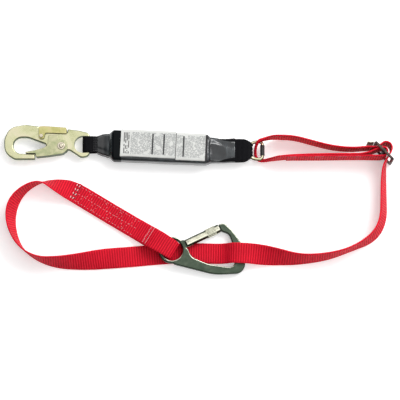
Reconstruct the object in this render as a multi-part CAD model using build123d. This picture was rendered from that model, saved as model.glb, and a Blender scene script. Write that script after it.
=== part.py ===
from build123d import *
import math
import os

# Shock absorbing lanyard, laid out on a flat surface: snap hook, shock pack, D-ring,
# adjuster with three-bar slider, webbing leg and twist-lock carabiner.
# Millimetres, +Z up, surface at Z = 0, origin at the middle of the laid-out hardware.

# ---- driving dimensions ----
WEB_W = 35.0            # red webbing
WEB_T = 2.5
BLACK_T = 3.0           # black pack webbing
FLOOR = 0.3             # strap edges clear the surface by this much
STEP = 9.0              # spacing of the strap's cross-sections

HOOK_AT = (-236.0, 92.0, 10.5)      # snap hook: gate pivot, mid-plane
HOOK_T = 11.0
HOOK_BAR_X = 44.4                   # webbing bar of the eye, from the gate pivot
HOOK_BAR_R = 4.1
HOOK_EYE_R = 15.0
GATE_OUT = 7.3                      # outer faces of the gate's cheeks
LEVER_OUT = 9.1                     # outer faces of the lock lever's cheeks
SHEET = 1.5
PIVOT_R = 2.5
LEVER_PIVOT = (-34.6, 17.4)
FIT = 0.08                          # radial running clearance

PACK_AT = (-66.2, 88.9, 13.5)       # shock pack: middle of the thick part
PACK_TURN = -2.5
PACK_L = 164.0
PACK_W = 54.5
PACK_H = 27.0
SLEEVE_T = 0.8

RING_AT = (98.0, 84.4, 14.0)        # D-ring
RING_WIRE_R = 2.75
RING_HALF_X = 11.5
RING_HALF_Y = 15.0

SLIDER_END = (300.7, 93.8)          # slider: upper left end of the upright plate
SLIDER_TURN = -46.3
SLIDER_L = 44.3
SLIDER_T = 4.0
SLIDER_H = 46.0
SLOT_H = 37.0
SLIDER_BAR_R = 3.5
SLIDER_END_BAR = 5.0

CARABINER_AT = (-45.2, -88.7, 11.4)  # carabiner: middle of the captive eye
CARABINER_TILT = 2.55
CARABINER_T = 11.0
EYE_R = 23.0
EYE_HOLE_R = 18.0
HINGE = (27.0, 13.0)
GATE_TURN = 25.6
GATE_END = 59.0
BARREL_R = 6.9
COLLAR_R = 8.0
COLLAR_FROM = 34.0
COLLAR_TO = 53.4

# ---- strap routes: x, y, z of the strap's centre line and its lean from upright ----
# Lean is in degrees, 0 on edge and 90 flat, towards the right of the direction of travel.
LEG_ROUTE = [
    (323.5, 70.5, 23.0, 0),
    (318.2, 58.0, 22.0, 12),
    (316.4, 36.0, 19.0, 19),
    (315.8, 4.0, 17.6, 21),
    (315.0, -38.0, 17.2, 23),
    (298.0, -68.0, 17.4, 20),
    (258.0, -88.5, 18.0, 3),
    (218.0, -101.0, 17.9, 11),
    (172.0, -105.5, 17.2, 20),
    (134.0, -100.5, 14.5, 46),
    (104.0, -96.5, 14.0, 74),
    (84.0, -94.5, 17.4, 90),
    (58.0, -93.2, 17.2, 90),
    (41.0, -93.6, 1.7, 90),
    (4.0, -92.4, 1.6, 90),
    (-52.0, -93.0, 1.6, 90),
    (-112.0, -98.5, 1.8, 90),
    (-158.0, -102.5, 6.8, 74),
    (-200.0, -108.5, 13.8, 46),
    (-240.0, -110.5, 17.0, 25),
    (-275.0, -104.5, 18.0, 3),
    (-305.0, -84.0, 18.0, -6),
    (-321.0, -45.0, 17.4, -20),
    (-319.0, -10.0, 16.9, -26),
    (-300.0, 16.0, 17.8, -10),
    (-271.0, 30.5, 18.0, 4),
    (-243.0, 24.5, 13.5, 45),
    (-213.0, 14.0, 5.4, 88),
    (-160.0, -18.5, 4.7, 90),
    (-112.0, -47.3, 5.8, 90),
    (-87.0, -62.6, 12.6, 90, 34.0, 2.5),
    (-72.0, -71.8, 21.5, 90, 31.0, 2.6),
    (-53.0, -83.4, 21.0, 90, 27.0, 2.8),
    (-50.5, -84.8, 13.4, 90, 25.0, 3.0),
]
TAIL_ROUTE = [
    (-50.6, -84.8, 12.0, 90, 25.0, 3.0),
    (-53.0, -83.3, 4.6, 90, 27.0, 2.6),
    (-66.0, -75.3, 4.4, 90, 31.0, 2.5),
    (-90.0, -60.8, 4.3, 90),
    (-122.0, -41.0, 1.9, 90),
    (-160.0, -18.5, 1.6, 90),
    (-213.0, 14.0, 1.6, 90),
]
UPPER_ROUTE = [
    (303.5, 85.7, 23.0, 0),
    (291.0, 86.8, 22.5, 0),
    (264.0, 84.6, 19.5, 0),
    (230.0, 88.0, 18.0, 0),
    (196.0, 97.0, 17.9, 0),
    (164.0, 106.0, 17.9, 0),
    (138.0, 107.0, 17.9, 0),
]
SLIDER_WRAP_ROUTE = [
    (304.3, 86.0, 23.0, 0),
    (311.0, 90.5, 23.0, 0),
    (317.5, 96.0, 23.0, 0),
    (328.5, 92.5, 23.0, 0),
    (331.0, 80.0, 23.0, 0),
    (324.3, 71.8, 23.0, 0),
]
LOWER_ROUTE = [
    (140.0, 71.0, 17.9, 0),
    (176.0, 73.6, 17.9, 0),
    (250.0, 74.4, 18.4, 0),
    (284.0, 74.0, 21.0, 0),
    (303.5, 82.5, 23.0, 0),
    (312.5, 86.0, 23.0, 0),
    (320.8, 84.2, 23.0, 0),
    (323.2, 75.5, 23.0, 0),
    (316.5, 70.2, 23.0, 0),
    (304.0, 70.0, 23.0, 0),
    (284.0, 70.8, 21.0, 0),
    (250.0, 71.2, 18.4, 0),
    (150.0, 70.4, 17.9, 0),
]
# The bunched turn through the ring: x, y, z, lean, width, thickness.
TURN_ROUTE = [
    (137.6, 107.0, 17.9, 0, 35.0, 2.5),
    (124.0, 106.5, 20.0, 0, 29.0, 3.0),
    (112.0, 102.5, 24.0, 0, 15.0, 4.5),
    (101.0, 99.0, 25.0, 0, 13.0, 5.0),
    (97.2, 87.0, 16.0, 0, 12.0, 5.0),
    (97.6, 75.0, 6.0, 0, 10.0, 5.0),
    (103.0, 68.4, 5.2, 0, 9.6, 5.0),
    (114.0, 67.8, 6.0, 0, 10.5, 4.5),
    (126.0, 69.0, 14.0, 0, 26.0, 3.0),
    (139.6, 71.0, 17.9, 0, 35.0, 2.5),
]


# ---- helpers ----
def outline(*corners):
    """A flat face from (x, y, corner radius) corners."""
    points = [(x, y) for x, y, _ in corners]
    return make_face(FilletPolyline(*points, radius=[r for _, _, r in corners], close=True))


def slab(face, low, high):
    """The face as a plate from low to high in Z."""
    return Pos(0, 0, low) * extrude(face, high - low)


def rounded_plate(face, half, edge):
    """A plate about Z = 0 with its top and bottom edges rounded."""
    plate = slab(face, -half, half)
    rims = plate.edges().group_by(Axis.Z)
    return fillet(list(rims[0]) + list(rims[-1]), edge)


def rod(radius, low, high):
    """A round bar along Z."""
    return Pos(0, 0, (low + high) / 2) * Cylinder(radius, high - low)


def rivet(shank, head, inner, outer):
    """A rivet through Z = 0 with a rounded head from inner to outer at each end."""
    body = rod(shank, -inner, inner)
    for side in (1, -1):
        cap = rod(head, inner, outer)
        cap = fillet(cap.edges().sort_by(Axis.Z)[-1], (outer - inner) * 0.7)
        body += cap if side > 0 else mirror(cap, Plane.XY)
    return body


def coil(radius, wire, pitch, turns):
    """A closely wound spring along Z, as touching turns."""
    spring = Torus(radius, wire)
    for turn in range(1, turns):
        spring += Pos(0, 0, turn * pitch) * Torus(radius, wire)
    return spring


def arc_radii(points):
    """For each corner, 0.45 of the shorter run over the tangent of half the turn."""
    radii = []
    for before, corner, after in zip(points, points[1:], points[2:]):
        run_in = Vector(*corner) - Vector(*before)
        run_out = Vector(*after) - Vector(*corner)
        turn = math.radians(run_in.get_angle(run_out))
        radii.append(0.45 * min(run_in.length, run_out.length) / math.tan(turn / 2))
    return radii


def strap(route, step=STEP):
    """A flat strap along a route, in ruled stretches between its cross-sections."""
    points = [row[:3] for row in route]
    radii = arc_radii(points)
    path = FilletPolyline(*points, radius=radii)
    marks = [0.0]
    for a, b in zip(points, points[1:]):
        marks.append(marks[-1] + (Vector(*b) - Vector(*a)).length)
    count = max(6, round(path.length / step))
    faces = []
    side = (Vector(*points[2]) - Vector(*points[0])).cross(Vector(0, 0, 1)).normalized()
    for i in range(count + 1):
        share = i / count
        values = along(route, marks, share * marks[-1])
        middle = path.position_at(share)
        ahead = path.tangent_at(share)
        across = ahead.cross(Vector(0, 0, 1))
        if across.length > 0.3:
            side = across.normalized()
        lean = math.radians(values[0])
        tall = Vector(0, 0, 1) * math.cos(lean) + side * math.sin(lean)
        thick = tall.cross(ahead).normalized()
        high, deep = tall * (values[1] / 2), thick * (values[2] / 2)
        ring = [middle + high + deep, middle - high + deep, middle - high - deep, middle + high - deep]
        faces.append(make_face(Polyline(*ring, close=True)))
    solid = loft(faces, ruled=True)
    expected = sum(f.area for f in faces) / len(faces) * path.length
    print(f"  strap length {path.length:.0f}, volume over section x length "
          f"{solid.volume / expected:.3f}, radii {[round(r) for r in radii]}")
    return solid


def along(route, marks, at):
    """Lean, width and thickness at a distance along the route."""
    for i in range(len(marks) - 1):
        if at <= marks[i + 1] or i == len(marks) - 2:
            share = min(1.0, (at - marks[i]) / (marks[i + 1] - marks[i]))
            first = (*route[i][3:], WEB_W, WEB_T)[:3]
            last = (*route[i + 1][3:], WEB_W, WEB_T)[:3]
            return [a + (b - a) * share for a, b in zip(first, last)]


# ---- snap hook, drawn about its gate pivot ----
def hook_body():
    face = outline(
        (-45, -23, 1.5), (-45, -14, 1.5), (-66, -13.3, 6), (-82.6, -13.2, 14.3),
        (-82.6, 15.6, 14.3), (-58, 15.6, 20), (-26.5, 4, 4), (-26, -3, 3),
        (-8, -9.2, 6), (14, -6.4, 9), (34, -20, 9), (48.9, -17, 9),
        (48.9, 23, 9), (30, 27.5, 14), (10.5, 30, 1.2), (9.8, 24, 1.0),
        (-38, 31, 1.0), (-40, 35, 1.5), (-62, 38, 24), (-90, 33, 22),
        (-98.5, 12, 24), (-97.5, -12, 22), (-80, -23.2, 12),
    )
    body = rounded_plate(face, HOOK_T / 2, 2.0)
    body -= Pos(37.2, 3) * rod(HOOK_EYE_R, -HOOK_T, HOOK_T)
    body -= Pos(HOOK_BAR_X + 1, 3, 0) * Box(11, 29.6, 2 * HOOK_T)
    body += Pos(HOOK_BAR_X, 3, 0) * Rot(90, 0, 0) * Cylinder(HOOK_BAR_R, 32)
    body -= rod(PIVOT_R, -HOOK_T, HOOK_T)
    body -= rod(6.4, 0.4, HOOK_T)
    body -= Pos(*LEVER_PIVOT) * rod(2.0, -HOOK_T, HOOK_T)
    body -= Pos(-10, 24, 0) * Rot(90, 0, 0) * Cylinder(2.6, 9)
    return body


def hook_gate():
    cheek = outline(
        (-61, -13.2, 1.0), (-43.7, -13.2, 1.2), (-43.4, -19.6, 2.5), (-22, -17.3, 60),
        (3, -13.6, 10), (11, -7, 6), (10, 8.6, 5), (-4.5, 11.6, 2),
        (-6.5, 18.6, 1.5), (-22.5, 18.6, 1.5), (-23.5, 1.5, 3), (-30, -3.4, 5),
        (-47, -8.2, 30), (-61, -10.6, 1.0),
    )
    gate = rounded_plate(cheek, GATE_OUT, 0.6)
    for side in (1, -1):
        rib = Pos(-20.5, 0.5, side * (GATE_OUT + 0.2)) * Box(3.0, 26, 0.8)
        panel = Pos(-12.6, 1.0, side * (GATE_OUT + 0.1)) * Box(8.0, 14, 0.6)
        gate += rib + panel
    pocket = outline(
        (-42.1, -18.2, 2), (-22, -15.8, 60), (2, -12.2, 9), (14, -6, 5),
        (14, 21, 1), (-30, 21, 1), (-43, -2, 1),
    )
    gate -= slab(pocket, -GATE_OUT + SHEET, GATE_OUT - SHEET)
    gate -= rod(PIVOT_R + FIT, -20, 20)
    return gate


def gate_rivet():
    """Broad washer heads with a round boss on each."""
    pin = rivet(PIVOT_R, 6.6, GATE_OUT + 0.3, GATE_OUT + 1.3)
    return pin + rivet(PIVOT_R, 3.6, GATE_OUT + 0.8, LEVER_OUT + 1.1)


def gate_spring():
    return Pos(0, 0, 1.3) * coil(4.6, 0.75, 1.4, 3)


def lock_lever():
    cheek = outline(
        (-39, 12.0, 4), (-39, 34, 3), (-30, 34.6, 8), (-6, 33, 10), (8.5, 31.8, 2.0),
        (9.2, 21.0, 2), (-27.5, 22.5, 3), (-30, 12.0, 3),
    )
    lever = rounded_plate(cheek, LEVER_OUT, 0.6)
    pocket = outline(
        (-50, 0, 1), (-50, 32.4, 1), (-30, 33, 8), (-6, 31.4, 10), (20, 29.6, 1), (20, 0, 1),
    )
    lever -= slab(pocket, -LEVER_OUT + SHEET, LEVER_OUT - SHEET)
    lever -= Pos(*LEVER_PIVOT) * rod(2.0 + FIT, -20, 20)
    return lever


def lever_rivet():
    return Pos(*LEVER_PIVOT) * rivet(2.0, 3.4, LEVER_OUT + 0.2, HOOK_AT[2])


def lever_spring():
    return Pos(-10, 20.6, 0) * Rot(-90, 0, 0) * coil(1.7, 0.5, 0.95, 6)


# ---- shock pack ----
def pack_frame(part):
    return Pos(*PACK_AT) * Rot(0, 0, PACK_TURN) * part


def sleeve_form(shrink):
    """The sleeve's outer form, or its bore where shrink is the wall."""
    rows = [
        (-174.4, 95.0, 11.2, 33, 14), (-164.0, 94.6, 11.4, 40, 15), (-150.0, 92.0, 12.4, 44, 19),
        (-147.0, 92.4, 13.5, PACK_W, PACK_H), (15.0, 85.4, 13.5, PACK_W - 1, PACK_H),
        (18.5, 84.0, 13.4, 46, 20), (40.0, 83.6, 13.8, 44, 15), (62.7, 84.3, 14.0, 43, 14),
    ]
    faces = []
    for x, y, z, wide, tall in rows:
        section = RectangleRounded(wide - 2 * shrink, tall - 2 * shrink, 4.6 - shrink)
        faces.append(Plane(origin=(x, y, z), x_dir=(0, 1, 0), z_dir=(1, 0, 0)) * section)
    return loft(faces, ruled=True)


def shrink_sleeve():
    return sleeve_form(0) - sleeve_form(SLEEVE_T)


def tear_webbing():
    """Tear-away webbing in four passes, joined at alternate ends."""
    passes, pitch = 4, 3.3
    bundle = None
    for i in range(passes):
        layer = Pos(0, 0, -9.2 + i * pitch) * Box(PACK_L - 14, 44, BLACK_T)
        bundle = layer if bundle is None else bundle + layer
        if i:
            end = (PACK_L - 14) / 2 * (1 if i % 2 else -1)
            bundle += Pos(end, 0, -9.2 + (i - 0.5) * pitch) * Rot(90, 0, 0) * Cylinder(3.1, 44)
    return pack_frame(bundle)


def backup_strap():
    """Backup webbing folded on top of the tear-away webbing."""
    strip = Pos(0, 0, 4.8) * Box(PACK_L - 22, 44, BLACK_T)
    strip += Pos(0, 0, 8.4) * Box(PACK_L - 22, 44, BLACK_T)
    strip += Pos((PACK_L - 22) / 2, 0, 6.6) * Rot(90, 0, 0) * Cylinder(3.3, 44)
    return pack_frame(strip)


def label_panel(x_from, x_to, y_mid, wide):
    middle = (x_from + x_to) / 2
    panel = Box(x_to - x_from, wide, 0.35)
    return Pos(middle, y_mid, PACK_H + 0.25) * Rot(0, 0, PACK_TURN) * panel


def label_edge_strip():
    return Pos(13.6, 85.5, PACK_H + 0.25) * Rot(0, 0, PACK_TURN) * Box(2.6, 47.6, 0.35)


def teardrop(centre_x, centre_z, radius, tip_x, tip_half, width, y_mid):
    """A block with a round nose at the centre, closing towards a flat end at tip_x."""
    nose = Pos(centre_x, centre_z) * Circle(radius)
    tail = Pos(tip_x, centre_z) * Rectangle(1.0, 2 * tip_half)
    face = make_hull((nose + tail).edges())
    upright = Plane(origin=(0, y_mid + width / 2, 0), x_dir=(1, 0, 0), z_dir=(0, -1, 0))
    return extrude(upright * face, width)


def left_loop():
    x = HOOK_AT[0] + HOOK_BAR_X
    y, z = HOOK_AT[1] + 3.2, HOOK_AT[2]
    loop = teardrop(x, z, HOOK_BAR_R + 0.4 + BLACK_T, -175.2, 5.0, 28.0, y)
    loop += Pos(-163.0, y - 0.4, z + 0.4) * Box(23.5, 27.0, 9.4)
    loop -= teardrop(x, z, HOOK_BAR_R + 0.4, -180.0, 0.6, 40.0, y)
    return loop


def right_loop():
    x, z = RING_AT[0] - RING_HALF_X + 0.4, RING_AT[2]
    loop = teardrop(x, z, RING_WIRE_R + 0.5 + BLACK_T, 72.0, 5.2, 22.0, RING_AT[1])
    loop += Pos(49.5, RING_AT[1] - 0.6, z) * Box(49.0, 37.6, 10.4)
    loop -= teardrop(x, z, RING_WIRE_R + 0.5, 78.0, 0.6, 50.0, RING_AT[1])
    loop -= ring_form(RING_WIRE_R + 0.35)
    return loop


def loop_stitching(x, y, z, wide):
    """Three rows of lock stitches standing on the loop's upper face."""
    rows = [Pos(x + 3.2 * i, y, z) * Box(1.2, wide, 0.5) for i in (-1, 0, 1)]
    return Compound(children=rows)


# ---- D-ring ----
def ring_form(wire_radius):
    x, y = RING_HALF_X, RING_HALF_Y
    path = FilletPolyline((x, -y), (x, y), (-x, y), (-x, -y), radius=[5, 5, 13, 13], close=True)
    start = Plane(origin=path @ 0, z_dir=path % 0)
    return Pos(*RING_AT) * sweep(start * Circle(wire_radius), path=path)


def d_ring():
    return ring_form(RING_WIRE_R)


def ring_wear_sleeve():
    tube = Rot(90, 0, 0) * (Cylinder(RING_WIRE_R + 1.1, 18) - Cylinder(RING_WIRE_R + 0.05, 18))
    return Pos(*RING_AT) * Pos(RING_HALF_X, 0, 0) * tube


# ---- slider ----
def slider_place(part):
    return Pos(SLIDER_END[0], SLIDER_END[1], 0) * Rot(0, 0, SLIDER_TURN) * part


def slider_frame():
    """Upright plate with two windows either side of the centre bar."""
    face = Pos(SLIDER_L / 2, SLIDER_H / 2) * RectangleRounded(SLIDER_L, SLIDER_H, 5)
    window = RectangleRounded(SLIDER_L - 2 * SLIDER_END_BAR, SLOT_H, 2)
    face -= Pos(SLIDER_L / 2, SLIDER_H / 2) * window
    plate = Rot(90, 0, 0) * slab(face, -SLIDER_T / 2, SLIDER_T / 2)
    rims = plate.edges().group_by(Axis.Y)
    plate = fillet(list(rims[0]) + list(rims[-1]), 0.8)
    for low in (-1.0, SLIDER_H - 4.6):
        plate -= Pos(SLIDER_L / 2, 0, low + 2.8) * Cylinder(1.2, 5.6)
    return slider_place(plate)


def slider_bar():
    """Round centre bar with a spigot at each end, held in the frame."""
    inside = SLOT_H / 2 - 0.1
    bar = rod(SLIDER_BAR_R, -inside, inside)
    bar += rod(1.2, -inside - 3.6, inside + 3.6)
    return slider_place(Pos(SLIDER_L / 2, 0, SLIDER_H / 2) * bar)


def slider_lip():
    """Bright lip folded back from the plate's upper end."""
    face = outline((-13.2, -1.7, 1.2), (-2.2, -1.7, 0.3), (-2.2, 1.3, 0.3), (-13.2, 1.3, 1.2))
    return Pos(SLIDER_END[0] + 1.0, SLIDER_END[1] + 1.2, 0) * slab(face, 6, SLIDER_H - 6)


# ---- carabiner, drawn about its eye ----
def carabiner_place(part):
    return Pos(*CARABINER_AT) * Rot(0, CARABINER_TILT, 0) * part


def gate_place(part):
    """From the gate's own frame, X along the barrel from the hinge pin."""
    return Pos(*HINGE) * Rot(0, 0, GATE_TURN) * part


def barrel(radius, start, end):
    return Pos((start + end) / 2, 0, 0) * Rot(0, 90, 0) * Cylinder(radius, end - start)


def carabiner_body():
    arm = outline(
        (-4, -22.6, 8), (30, -31, 60), (72, -41.5, 90), (124.5, -39, 17),
        (124, 6, 28), (100.5, 36.8, 22), (88.5, 47.4, 7), (78.3, 44.8, 2.5),
        (83.9, 33.0, 2.5), (97.0, 28.5, 12), (104.5, 8, 25), (107, -30, 9),
        (62, -24, 60), (33, -12, 16), (26, 4, 10), (10, 10, 3), (4, -6, 3),
    )
    wall_middle = (EYE_R + EYE_HOLE_R) / 2
    body = rounded_plate(arm, CARABINER_T / 2, 2.2) - rod(wall_middle, -9, 9)
    body += rounded_plate(Circle(EYE_R) - Circle(EYE_HOLE_R), CARABINER_T / 2, 2.2)
    lug = make_hull((Pos(*HINGE) * Circle(5.0) + Pos(18, 9) * Circle(7.5)).edges())
    body += slab(lug, -CARABINER_T / 2, CARABINER_T / 2) - rod(wall_middle, -9, 9)
    for side in (1, -1):
        body -= Pos(*HINGE) * Pos(0, 0, side * (2.45 + 5)) * Cylinder(8.4, 10)
    body += gate_place(Pos(57.6, 2.9, 0) * Box(7.2, 2.6, 3.6))
    body -= Pos(*HINGE) * rod(1.6, -9, 9)
    return carabiner_place(body)


def gate_barrel():
    tube = barrel(BARREL_R, -4.5, GATE_END)
    tube = fillet(tube.edges().group_by(Axis.X)[0], 3.0)
    tube += barrel(COLLAR_R - 0.7, COLLAR_TO + 0.7, GATE_END)
    tube -= Pos(0, 0, 0) * Box(14.4, 20, 5.4)
    tube -= Pos(56, 0, 0) * Box(8, 20, 4.6)
    tube -= barrel(3.3, 0, 40)
    tube -= barrel(20, 42, 47) - barrel(5.0, 42, 47)
    tube -= rod(1.6 + FIT, -9, 9)
    tube -= Pos(55.6, 0, 0) * rod(1.2, -9, 9)
    return carabiner_place(gate_place(tube))


def gate_hinge_pin():
    return carabiner_place(Pos(*HINGE) * rod(1.6, -5.6, 5.6))


def gate_plunger():
    pin = barrel(2.2, 5.6, 12) + barrel(3.1, 12, 14.5)
    return carabiner_place(gate_place(pin))


def gate_coil():
    spring = Rot(0, 90, 0) * coil(2.5, 0.55, 1.05, 20)
    return carabiner_place(gate_place(Pos(15.2, 0, 0) * spring))


def nose_pin():
    return carabiner_place(gate_place(Pos(55.6, 0, 0) * rod(1.2, -5.5, 5.5)))


def lock_collar():
    flutes = 22
    face = Circle(COLLAR_R)
    for i in range(flutes):
        face -= Rot(0, 0, i * 360 / flutes) * Pos(COLLAR_R + 0.25, 0) * Circle(0.85)
    face -= Circle(BARREL_R + FIT)
    ring = Rot(0, 90, 0) * slab(face, COLLAR_FROM + 1.6, COLLAR_TO - 1.6)
    for low, high in ((COLLAR_FROM, COLLAR_FROM + 1.6), (COLLAR_TO - 1.6, COLLAR_TO)):
        ring += barrel(COLLAR_R - 0.6, low, high) - barrel(BARREL_R + FIT, low, high)
    return carabiner_place(gate_place(ring))


def collar_spring():
    spring = Rot(0, 90, 0) * coil(5.5, 0.4, 0.78, 6)
    return carabiner_place(gate_place(Pos(42.6, 0, 0) * spring))


# ---- stitching on the red webbing ----
def bar_tack(x, y, z, turn, count, pitch, wide):
    """Rows of dense stitches lying on flat webbing."""
    rows = [Pos(pitch * (i - (count - 1) / 2), 0, 0) * Box(1.6, wide, 0.5) for i in range(count)]
    return Pos(x, y, z) * Rot(0, 0, turn) * Compound(children=rows)


def adjuster_stitching():
    """Upright tacks along the outer face of the sewn strand."""
    tacks = [Pos(x, 69.0 - 0.2, 18.0) * Box(1.8, 0.4, 26) for x in (166, 170, 206, 210, 246, 250)]
    return Compound(children=tacks)


def place_hook(part):
    return Pos(*HOOK_AT) * part


parts = {
    "hook_body": place_hook(hook_body()),
    "hook_gate": place_hook(hook_gate()),
    "hook_gate_rivet": place_hook(gate_rivet()),
    "hook_gate_spring": place_hook(gate_spring()),
    "hook_lock_lever": place_hook(lock_lever()),
    "hook_lever_rivet": place_hook(lever_rivet()),
    "hook_lever_spring": place_hook(lever_spring()),
    "left_loop": left_loop(),
    "left_loop_stitching": loop_stitching(-181.5, 95.2, 17.6, 22),
    "shrink_sleeve": shrink_sleeve(),
    "tear_webbing": tear_webbing(),
    "backup_strap": backup_strap(),
    "label_main": label_panel(-133.6, -39.4, 93.4, 47.6),
    "label_side": label_panel(-38.4, 11.6, 88.2, 47.6),
    "label_edge_strip": label_edge_strip(),
    "right_loop": right_loop(),
    "right_loop_stitching": loop_stitching(68.4, 84.0, 19.55, 34),
    "d_ring": d_ring(),
    "ring_wear_sleeve": ring_wear_sleeve(),
    "slider_frame": slider_frame(),
    "slider_bar": slider_bar(),
    "slider_lip": slider_lip(),
    "adjuster_upper_strand": strap(UPPER_ROUTE),
    "adjuster_slider_wrap": strap(SLIDER_WRAP_ROUTE, 2.5),
    "adjuster_sewn_strand": strap(LOWER_ROUTE, 5.0),
    "adjuster_ring_turn": strap(TURN_ROUTE, 3.5),
    "adjuster_stitching": adjuster_stitching(),
    "leg_webbing": strap(LEG_ROUTE),
    "leg_sewn_tail": strap(TAIL_ROUTE, 6.0),
    "leg_end_bar_tack": bar_tack(-207.0, 9.8, 8.8, -30.8, 4, 3.4, 30),
    "leg_eye_bar_tack": bar_tack(-124.0, -40.0, 7.4, -30.8, 2, 4.0, 30),
    "carabiner_body": carabiner_body(),
    "carabiner_gate_barrel": gate_barrel(),
    "carabiner_hinge_pin": gate_hinge_pin(),
    "carabiner_gate_spring": gate_coil(),
    "carabiner_plunger": gate_plunger(),
    "carabiner_nose_pin": nose_pin(),
    "carabiner_lock_collar": lock_collar(),
    "carabiner_collar_spring": collar_spring(),
}

os.makedirs("parts", exist_ok=True)
for name, part in parts.items():
    print(name, f"{part.volume:.0f} mm3")
    export_step(part, f"parts/{name}.step")
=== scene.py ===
import math
import random

import bpy
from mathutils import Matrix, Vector, noise


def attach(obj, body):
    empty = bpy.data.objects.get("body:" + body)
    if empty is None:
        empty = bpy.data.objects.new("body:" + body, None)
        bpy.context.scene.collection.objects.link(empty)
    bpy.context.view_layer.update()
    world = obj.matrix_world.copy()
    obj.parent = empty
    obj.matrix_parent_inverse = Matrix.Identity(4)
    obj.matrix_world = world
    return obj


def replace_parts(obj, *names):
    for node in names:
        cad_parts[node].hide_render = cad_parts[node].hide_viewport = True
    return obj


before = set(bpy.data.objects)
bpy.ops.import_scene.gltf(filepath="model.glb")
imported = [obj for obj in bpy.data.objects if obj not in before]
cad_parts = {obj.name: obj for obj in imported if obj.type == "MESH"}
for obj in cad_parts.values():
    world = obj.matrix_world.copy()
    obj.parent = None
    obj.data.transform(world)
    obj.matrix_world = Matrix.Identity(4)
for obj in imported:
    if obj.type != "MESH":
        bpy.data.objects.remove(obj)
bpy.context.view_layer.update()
rng = random.Random(7)

# ---- sizes, in metres ----
W = 0.035               # width of the red webbing
WEB_T = 0.0025          # its thickness
FLAT_PART = 0.965       # part of any strap's half width that is flat
EDGE_PART = 0.42        # part of any strap's half thickness where its edge stands straight
RIB = 0.0042            # spacing and depth of its cross ribs
RIB_DEEP = 0.00042
BLACK_T = 0.0030        # thickness of the black pack webbing
BLACK_RIB = 0.0022
BLACK_RIB_DEEP = 0.00022
FOLDED_RIB_DEEP = 0.0001
FACE = WEB_T / 2 + 0.00005  # where thread lies, from the middle of the red webbing
PACK_MID_X = -0.0662    # middle of the wrapped pack
PACK_TOP = 0.0272       # its top
PACK_TURN = -2.5        # its turn on the floor, in degrees
NECK_FROM = 0.080       # distance from the pack's middle where its film starts to draw in
NECK_EASE = 0.010
FILM_T = 0.0008
FILM_HEM = 0.006        # how far the film's cut ends turn in
SEAM_AT = 2.62          # angle round the pack, in radians, of the film's welded seam
SEAM_WIDE = 0.035
SEAM_RISE = 0.0007
DULL_FROM = -0.1490     # band of doubled film beside the label, dark and dull
DULL_TO = -0.1320
LABEL_W = 0.0476
LABEL_T = 0.0006
LABEL_STEP = 0.0025     # size of its mesh's squares along the pack
LABEL_FLAT = 0.85       # part of a label's half width that stays flat
LABEL_DROP = 0.0012     # how far its long edges bend down

# ---- light and looks ----
SKY_POWER = 1.0
FLOOR_GLOW = 0.35       # light table under the lanyard
SHADE_FROM_UPRIGHT = 0.985     # how upright a normal is before the plating takes painted shade
SHADE_GAIN = 3.6
BAND_GAIN = 700.0       # sharpness of the dull band's edges, per metre
BAR_REACH = 0.0180      # half length of the heavy rules printed on the label
TITLE_REACH = 0.0185
TEXT_REACH = 0.0195
TEXT_ROW = 0.00125      # spacing of the printed rows and words
TEXT_WORD = 0.0011
TITLE_LETTER = 0.0026
TITLE_ROW = 0.0021

# ---- strap routes: x, y, z, lean from upright in degrees, width, thickness ----
LEG_ROUTE = [
    # from the slider, on edge
    (0.3235, 0.0705, 0.0230, 0, W, WEB_T),
    (0.3182, 0.0580, 0.0220, 12, W, WEB_T),
    (0.3164, 0.0360, 0.0190, 19, W, WEB_T),
    (0.3158, 0.0040, 0.0176, 21, W, WEB_T),
    (0.3150, -0.0380, 0.0172, 23, W, WEB_T),
    (0.2980, -0.0680, 0.0174, 20, W, WEB_T),
    (0.2580, -0.0885, 0.0180, 3, W, WEB_T),
    (0.2180, -0.1010, 0.0179, 11, W, WEB_T),
    (0.1720, -0.1055, 0.0172, 20, W, WEB_T),
    (0.1340, -0.1005, 0.0145, 46, W, WEB_T),
    (0.1040, -0.0965, 0.0140, 74, W, WEB_T),
    # flat over the carabiner and down through its bow
    (0.0840, -0.0945, 0.0174, 90, W, WEB_T),
    (0.0580, -0.0932, 0.0172, 90, W, WEB_T),
    (0.0410, -0.0936, 0.0017, 90, W, WEB_T),
    (0.0040, -0.0924, 0.0016, 90, W, WEB_T),
    (-0.0520, -0.0930, 0.0016, 90, W, WEB_T),
    (-0.1120, -0.0985, 0.0018, 90, W, WEB_T),
    (-0.1580, -0.1025, 0.0068, 74, W, WEB_T),
    # on edge round the left-hand bend
    (-0.2000, -0.1085, 0.0138, 46, W, WEB_T),
    (-0.2400, -0.1105, 0.0170, 25, W, WEB_T),
    (-0.2750, -0.1045, 0.0180, 3, W, WEB_T),
    (-0.3050, -0.0840, 0.0180, -6, W, WEB_T),
    (-0.3210, -0.0450, 0.0174, -20, W, WEB_T),
    (-0.3190, -0.0100, 0.0169, -26, W, WEB_T),
    (-0.3000, 0.0160, 0.0178, -10, W, WEB_T),
    (-0.2710, 0.0305, 0.0180, 4, W, WEB_T),
    (-0.2430, 0.0245, 0.0135, 45, W, WEB_T),
    # flat on its own sewn tail, and into the captive eye
    (-0.2130, 0.0140, 0.0054, 88, W, WEB_T),
    (-0.1600, -0.0185, 0.0047, 90, W, WEB_T),
    (-0.1120, -0.0473, 0.0058, 90, W, WEB_T),
    (-0.0870, -0.0626, 0.0126, 90, W, WEB_T),
    (-0.0720, -0.0718, 0.0218, 90, 0.0345, WEB_T),
    (-0.0520, -0.0842, 0.0222, 90, 0.0330, WEB_T),
    (-0.0425, -0.0900, 0.0185, 90, 0.0315, WEB_T),
    (-0.0405, -0.0912, 0.0128, 90, 0.0310, WEB_T),
]
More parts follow.
